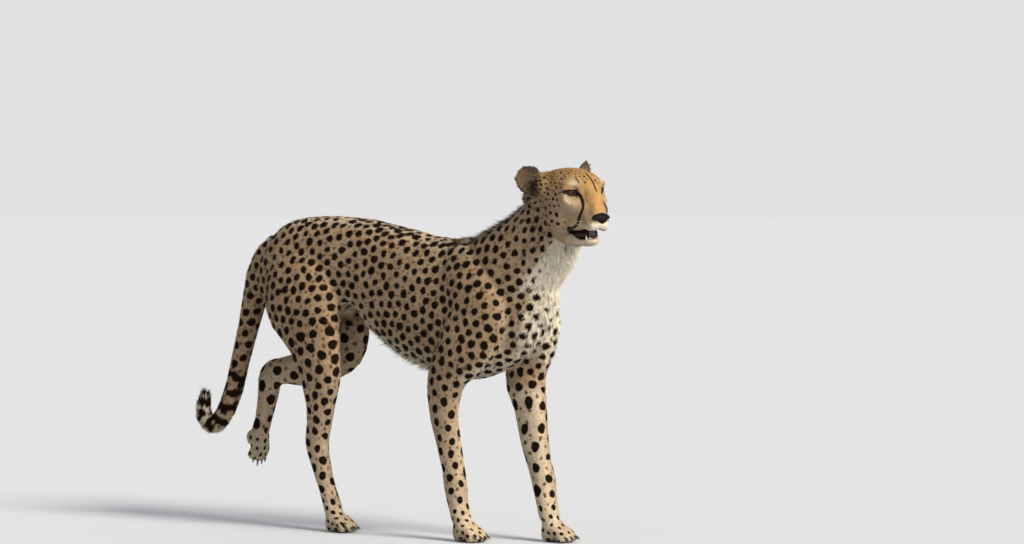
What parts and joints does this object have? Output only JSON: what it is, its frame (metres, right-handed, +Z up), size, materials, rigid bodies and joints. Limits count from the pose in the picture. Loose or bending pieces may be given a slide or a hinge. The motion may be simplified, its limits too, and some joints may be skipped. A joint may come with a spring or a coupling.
{
  "type": "cheetah",
  "caption": "Life-size standing cheetah, a still model in mid stride with one hind foot lifted, the head turned to its right, the mouth a little open and the tail curling up at its end.",
  "frame": {"origin": "on the floor, below the middle of the whole animal's length and width", "axes": "+X forward along the back, +Y to the animal's left, +Z up; the feet stand on z = 0"},
  "size_m": [1.3202, 0.246, 0.9139],
  "materials": {
    "coat": "short spotted fur",
    "pale_coat": "short pale fur",
    "nose_skin": "damp black skin",
    "eye": "wet and clear"
  },
  "bodies": {
    "root": {"trunk": "coat", "neck": "coat", "head": "coat", "tail_base": "coat", "tail_middle": "coat", "tail_tip": "coat", "ear_left": "coat", "ear_right": "coat", "foreleg_right": "coat", "foreleg_left": "coat", "forepaw_right": "coat", "forepaw_left": "coat", "hindleg_right": "coat", "hindleg_left": "coat", "hindfoot_right": "coat", "hindfoot_left": "coat", "hindpaw_right": "coat", "hindpaw_left": "coat", "lower_jaw": "pale_coat", "nose": "nose_skin", "eye_left": "eye", "eye_right": "eye"}
  },
  "joints": []
}
